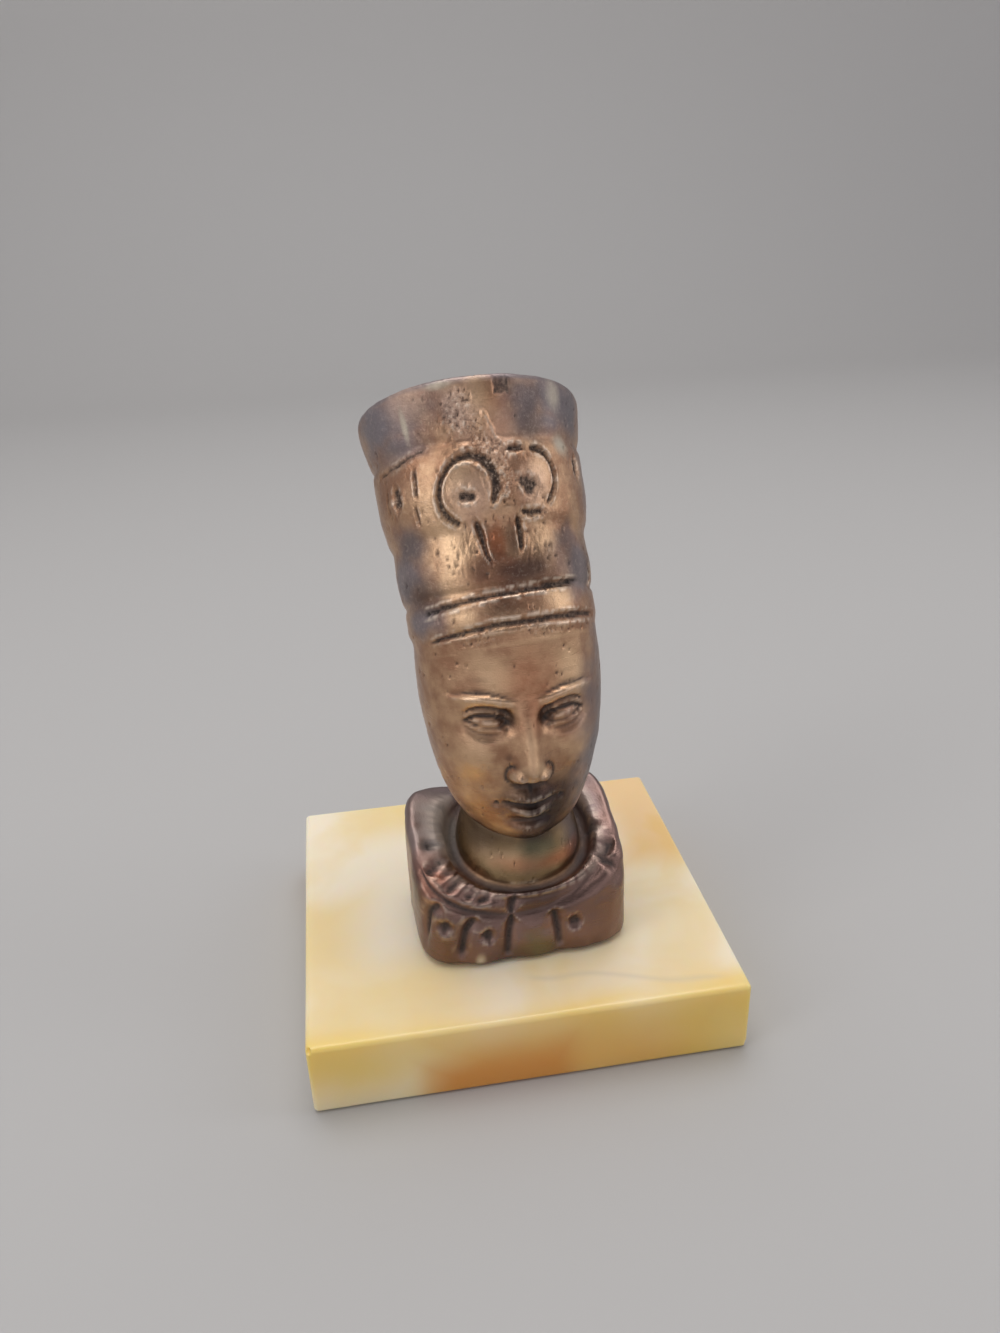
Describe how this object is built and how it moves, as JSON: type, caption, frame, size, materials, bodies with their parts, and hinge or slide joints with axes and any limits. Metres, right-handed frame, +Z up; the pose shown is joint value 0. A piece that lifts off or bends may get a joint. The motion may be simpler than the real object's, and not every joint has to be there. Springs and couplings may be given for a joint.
{
  "type": "crowned bust",
  "caption": "Small cast bronze bust with a tall banded crown and a carved collar, standing on a polished onyx slab.",
  "frame": {"origin": "centre of the plinth's underside", "axes": "+Z up, the bust faces -Y, +X to the viewer's right"},
  "size_m": [0.07, 0.0636, 0.104],
  "materials": {
    "bronze": "satin",
    "onyx": "gloss"
  },
  "bodies": {
    "root": {"bust": "bronze", "plinth": "onyx"}
  },
  "joints": []
}
